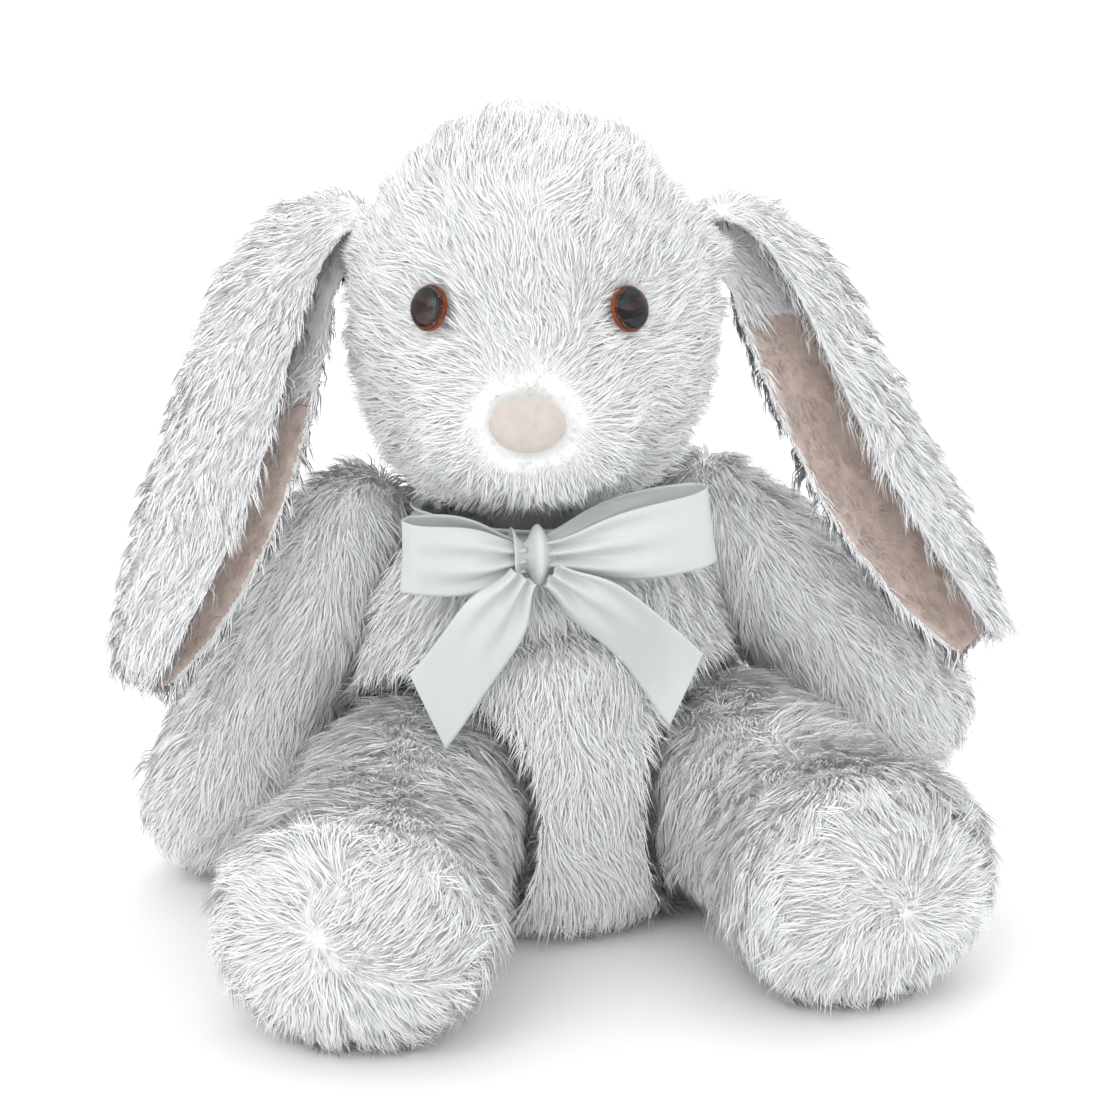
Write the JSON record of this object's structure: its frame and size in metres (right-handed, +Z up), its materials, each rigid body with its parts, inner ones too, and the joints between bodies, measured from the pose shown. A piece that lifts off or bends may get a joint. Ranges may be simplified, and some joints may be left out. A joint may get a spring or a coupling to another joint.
{
  "type": "stuffed bunny rabbit",
  "caption": "Sitting plush rabbit with long hanging ears, round paws and feet, domed nose and a satin neck bow.",
  "frame": {"origin": "on the surface that it sits on, under the middle of its seat", "axes": "+Z up, the bunny faces -Y, its own left side is +X"},
  "size_m": [0.3029, 0.2678, 0.2703],
  "materials": {
    "plush_white": "long soft white pile",
    "velour_pink": "short pink velour",
    "satin_white": "white satin ribbon",
    "eye_iris": "moulded brown plastic",
    "eye_pupil": "moulded black plastic",
    "eye_lens": "clear polished acrylic dome",
    "washer": "natural moulded plastic",
    "fibre_fill": "loose polyester fibre",
    "pellet_cloth": "woven bag of plastic pellets",
    "label_tape": "blank woven label"
  },
  "bodies": {
    "torso": {"tummy_panel": "plush_white", "back_panel_left": "plush_white", "back_panel_right": "plush_white", "seat_panel": "plush_white", "torso_stuffing": "fibre_fill", "seat_pellet_bag": "pellet_cloth", "care_label": "label_tape", "neck_band": "satin_white", "bow_knot": "satin_white", "bow_loop_left": "satin_white", "bow_loop_right": "satin_white"},
    "neck": {"neck_stuffing": "fibre_fill"},
    "head": {"head_gusset": "plush_white", "chin_panel": "plush_white", "head_side_left": "plush_white", "head_side_right": "plush_white", "head_stuffing": "fibre_fill", "nose_cover": "velour_pink", "nose_padding": "fibre_fill", "eye_lens_left": "eye_lens", "eye_pupil_left": "eye_pupil", "eye_iris_left": "eye_iris", "eye_washer_left": "washer", "eye_lens_right": "eye_lens", "eye_pupil_right": "eye_pupil", "eye_iris_right": "eye_iris", "eye_washer_right": "washer"},
    "tail": {"tail_cover": "plush_white", "tail_stuffing": "fibre_fill"},
    "ear_left": {"ear_outer_left": "plush_white", "ear_lining_left": "velour_pink"},
    "arm_left": {"arm_outer_left": "plush_white", "arm_inner_left": "plush_white", "arm_stuffing_left": "fibre_fill"},
    "leg_left": {"leg_upper_left": "plush_white", "leg_under_left": "plush_white", "foot_sole_left": "plush_white", "leg_stuffing_left": "fibre_fill", "foot_pellet_bag_left": "pellet_cloth"},
    "ribbon_left": {"ribbon_end_left": "satin_white"},
    "ear_right": {"ear_outer_right": "plush_white", "ear_lining_right": "velour_pink"},
    "arm_right": {"arm_outer_right": "plush_white", "arm_inner_right": "plush_white", "arm_stuffing_right": "fibre_fill"},
    "leg_right": {"leg_upper_right": "plush_white", "leg_under_right": "plush_white", "foot_sole_right": "plush_white", "leg_stuffing_right": "fibre_fill", "foot_pellet_bag_right": "pellet_cloth"},
    "ribbon_right": {"ribbon_end_right": "satin_white"}
  },
  "joints": [
    {"name": "neck_turn", "type": "hinge", "parent": "torso", "child": "neck", "pos_m": [0, -0.002, 0.142], "axis": [0, 0, 1], "range_deg": [-8, 6], "stiffness_Nm_per_rad": 0.35},
    {"name": "head_nod", "type": "hinge", "parent": "neck", "child": "head", "pos_m": [0, -0.002, 0.142], "axis": [1, 0, 0], "range_deg": [-8, 1], "stiffness_Nm_per_rad": 1.2},
    {"name": "tail_lift", "type": "hinge", "parent": "torso", "child": "tail", "pos_m": [0, 0.063, 0.046], "axis": [1, 0, 0], "range_deg": [-10, 12], "stiffness_Nm_per_rad": 0.02},
    {"name": "ear_swing_left", "type": "hinge", "parent": "head", "child": "ear_left", "pos_m": [0.0589, -0.01145, 0.224], "axis": [0, -1, 0], "range_deg": [0, 50]},
    {"name": "arm_lift_left", "type": "hinge", "parent": "torso", "child": "arm_left", "pos_m": [0.06, 0.008, 0.121], "axis": [0, -1, 0], "range_deg": [0, 14], "stiffness_Nm_per_rad": 0.12},
    {"name": "leg_raise_left", "type": "hinge", "parent": "torso", "child": "leg_left", "pos_m": [0.058, -0.032, 0.041], "axis": [-1, 0, 0], "range_deg": [0, 12], "stiffness_Nm_per_rad": 0.3},
    {"name": "ribbon_lift_left", "type": "hinge", "parent": "torso", "child": "ribbon_left", "pos_m": [-0.0065, -0.0715, 0.127], "axis": [-1, 0, 0], "range_deg": [0, 60]},
    {"name": "ear_swing_right", "type": "hinge", "parent": "head", "child": "ear_right", "pos_m": [-0.0589, 0.01145, 0.224], "axis": [0, 1, 0], "range_deg": [0, 50]},
    {"name": "arm_lift_right", "type": "hinge", "parent": "torso", "child": "arm_right", "pos_m": [-0.06, 0.008, 0.121], "axis": [0, 1, 0], "range_deg": [0, 45], "stiffness_Nm_per_rad": 0.12},
    {"name": "leg_raise_right", "type": "hinge", "parent": "torso", "child": "leg_right", "pos_m": [-0.043, -0.034, 0.041], "axis": [-1, 0, 0], "range_deg": [0, 8], "stiffness_Nm_per_rad": 0.3},
    {"name": "ribbon_lift_right", "type": "hinge", "parent": "torso", "child": "ribbon_right", "pos_m": [-0.0155, -0.0715, 0.127], "axis": [-1, 0, 0], "range_deg": [0, 60]}
  ]
}
